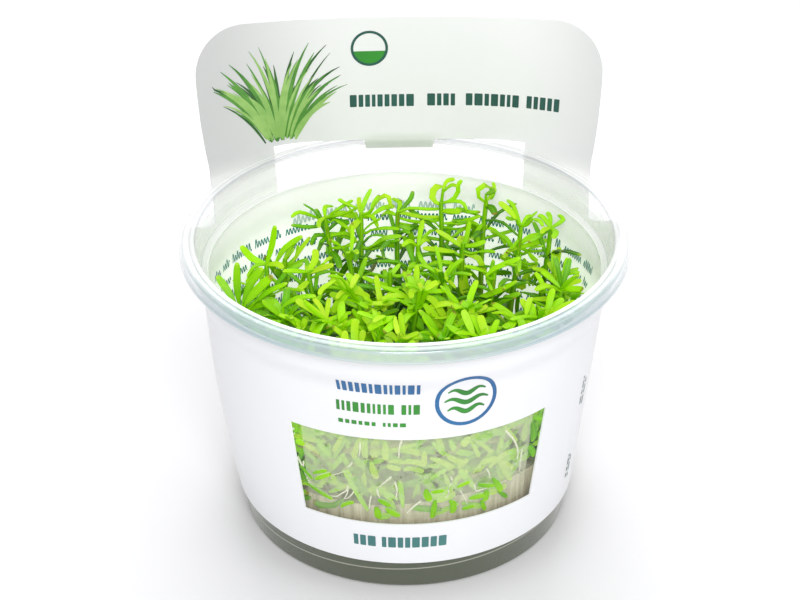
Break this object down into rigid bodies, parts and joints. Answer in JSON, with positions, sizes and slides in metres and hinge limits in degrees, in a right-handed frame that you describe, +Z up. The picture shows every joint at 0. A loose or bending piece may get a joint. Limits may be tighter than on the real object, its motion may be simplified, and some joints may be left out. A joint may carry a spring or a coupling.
{
  "type": "tissue-cultured aquarium stem plant in a sleeved cup",
  "caption": "Clear cup of tissue-cultured stem plants growing on nutrient gel, in a card sleeve with a window whose back rises behind the rim as a header card.",
  "frame": {"origin": "centre of the cup's foot, on the surface it stands on", "axes": "+Z up; the sleeve's window faces -Y and its header card stands at +Y; +X is to the viewer's right when looking at the window"},
  "size_m": [0.095, 0.095, 0.0965],
  "materials": {
    "clear_plastic": "gloss",
    "printed_card": "satin",
    "gel": "gloss",
    "roots": "satin",
    "leaf_green": "satin"
  },
  "bodies": {
    "root": {"cup": "clear_plastic", "sleeve": "printed_card", "gel": "gel", "root_mat": "roots", "shoot_01": "leaf_green", "shoot_02": "leaf_green", "shoot_03": "leaf_green", "shoot_04": "leaf_green", "shoot_05": "leaf_green", "shoot_06": "leaf_green", "shoot_07": "leaf_green", "shoot_08": "leaf_green", "shoot_09": "leaf_green", "shoot_10": "leaf_green", "shoot_11": "leaf_green", "shoot_12": "leaf_green", "shoot_13": "leaf_green", "shoot_14": "leaf_green", "shoot_15": "leaf_green", "shoot_16": "leaf_green", "shoot_17": "leaf_green", "shoot_18": "leaf_green", "shoot_19": "leaf_green", "shoot_20": "leaf_green", "shoot_21": "leaf_green", "shoot_22": "leaf_green", "shoot_23": "leaf_green", "shoot_24": "leaf_green", "shoot_25": "leaf_green", "shoot_26": "leaf_green", "shoot_27": "leaf_green", "shoot_28": "leaf_green", "shoot_29": "leaf_green", "shoot_30": "leaf_green", "shoot_31": "leaf_green", "shoot_32": "leaf_green", "shoot_33": "leaf_green"}
  },
  "joints": []
}
